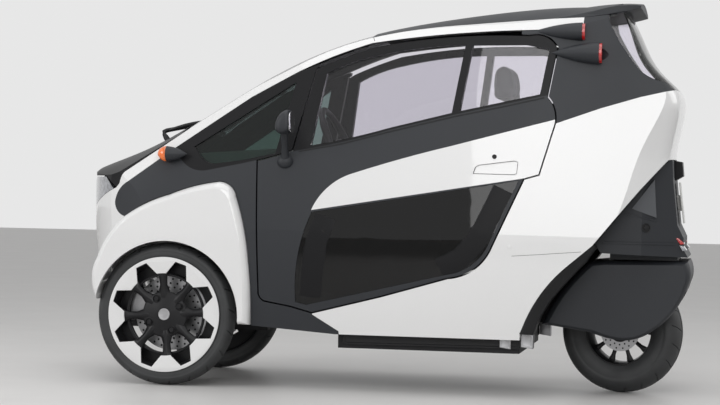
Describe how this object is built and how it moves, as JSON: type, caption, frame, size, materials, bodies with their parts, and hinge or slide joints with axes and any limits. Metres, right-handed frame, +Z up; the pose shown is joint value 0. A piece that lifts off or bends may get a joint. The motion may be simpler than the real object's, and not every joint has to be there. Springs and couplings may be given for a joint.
{
  "type": "three wheeled car",
  "caption": "Narrow enclosed electric car on three wheels, steered by the rear wheel, with tandem seats, glazed side doors and a sloping wraparound cabin.",
  "frame": {"origin": "on the ground below the middle of the overall length and width", "axes": "+X forward, +Y to the car's left, +Z up"},
  "size_m": [2.3571, 1.12, 1.4759],
  "materials": {
    "paint_white": "pearl gloss",
    "paint_grey": "satin",
    "gloss_black": "gloss",
    "glass_clear": "clear",
    "glass_green": "tinted",
    "glass_dark": "dark tint",
    "lens_clear": "clear lens",
    "lens_amber": "gloss",
    "lens_red": "gloss",
    "tyre_rubber": "matt",
    "rim_white": "gloss",
    "spider_black": "satin",
    "disc_steel": "brushed",
    "chassis": "satin",
    "cast_alloy": "cast",
    "seat_cloth": "woven",
    "trim_light": "grained",
    "trim_black": "grained",
    "plate_white": "satin"
  },
  "bodies": {
    "body": {"front_fenders": "paint_white", "cowl_sides": "paint_grey", "sill_wedges": "paint_grey", "roof_rails": "paint_white", "c_pillars": "paint_grey", "rear_quarters": "paint_white", "quarter_frames": "gloss_black", "quarter_glass": "glass_green", "nose_cover": "paint_white", "windshield": "glass_clear", "rear_glass": "glass_clear", "headlamps": "lens_clear", "hood": "gloss_black", "roof_panel": "paint_grey", "tail_unit": "paint_grey", "rear_fender": "paint_grey", "lamp_pods": "paint_grey", "signal_lenses": "lens_amber", "red_lenses": "lens_red", "plate_lamp": "gloss_black", "number_plate": "plate_white", "cabin_tub": "chassis", "dashboard": "trim_light", "battery_block": "chassis", "front_seat_cushion": "seat_cloth", "front_seat_back": "seat_cloth", "front_headrest": "seat_cloth", "rear_seat_cushion": "seat_cloth", "rear_seat_back": "seat_cloth", "rear_seat_base": "trim_black", "steering_wheel": "trim_black", "front_frame": "chassis", "suspension_arms": "chassis", "front_knuckles": "cast_alloy", "front_calipers": "cast_alloy"},
    "front_wheel_left": {"front_tyre_left": "tyre_rubber", "front_rim_left": "rim_white", "front_spider_left": "spider_black", "brake_disc_left": "disc_steel"},
    "front_wheel_right": {"front_tyre_right": "tyre_rubber", "front_rim_right": "rim_white", "front_spider_right": "spider_black", "brake_disc_right": "disc_steel"},
    "rear_carrier": {"rear_arm": "chassis"},
    "rear_wheel": {"rear_tyre": "tyre_rubber", "rear_rim": "spider_black"},
    "door_left": {"door_shell_left": "paint_grey", "door_panel_left": "paint_white", "door_frame_left": "gloss_black", "door_window_left": "glass_clear", "door_lower_glass_left": "glass_dark", "door_handle_left": "paint_white", "mirror_left": "paint_grey"},
    "door_right": {"door_shell_right": "paint_grey", "door_panel_right": "paint_white", "door_frame_right": "gloss_black", "door_window_right": "glass_clear", "door_lower_glass_right": "glass_dark", "door_handle_right": "paint_white", "mirror_right": "paint_grey"}
  },
  "joints": [
    {"name": "front_wheel_left_spin", "type": "hinge", "parent": "body", "child": "front_wheel_left", "pos_m": [0.784, 0.365, 0.27], "axis": [0, 1, 0], "continuous": true},
    {"name": "front_wheel_right_spin", "type": "hinge", "parent": "body", "child": "front_wheel_right", "pos_m": [0.784, -0.365, 0.27], "axis": [0, 1, 0], "continuous": true},
    {"name": "rear_steer", "type": "hinge", "parent": "body", "child": "rear_carrier", "pos_m": [-0.916, 0, 0.5], "axis": [0, 0, 1], "range_deg": [-12, 40]},
    {"name": "rear_wheel_spin", "type": "hinge", "parent": "rear_carrier", "child": "rear_wheel", "pos_m": [-0.916, 0, 0.235], "axis": [0.2419, 0.9703, 0], "continuous": true},
    {"name": "door_left_hinge", "type": "hinge", "parent": "body", "child": "door_left", "pos_m": [0.439, 0.416, 0.6], "axis": [0, 0, -1], "range_deg": [0, 65]},
    {"name": "door_right_hinge", "type": "hinge", "parent": "body", "child": "door_right", "pos_m": [0.439, -0.416, 0.6], "axis": [0, 0, 1], "range_deg": [0, 65]}
  ]
}
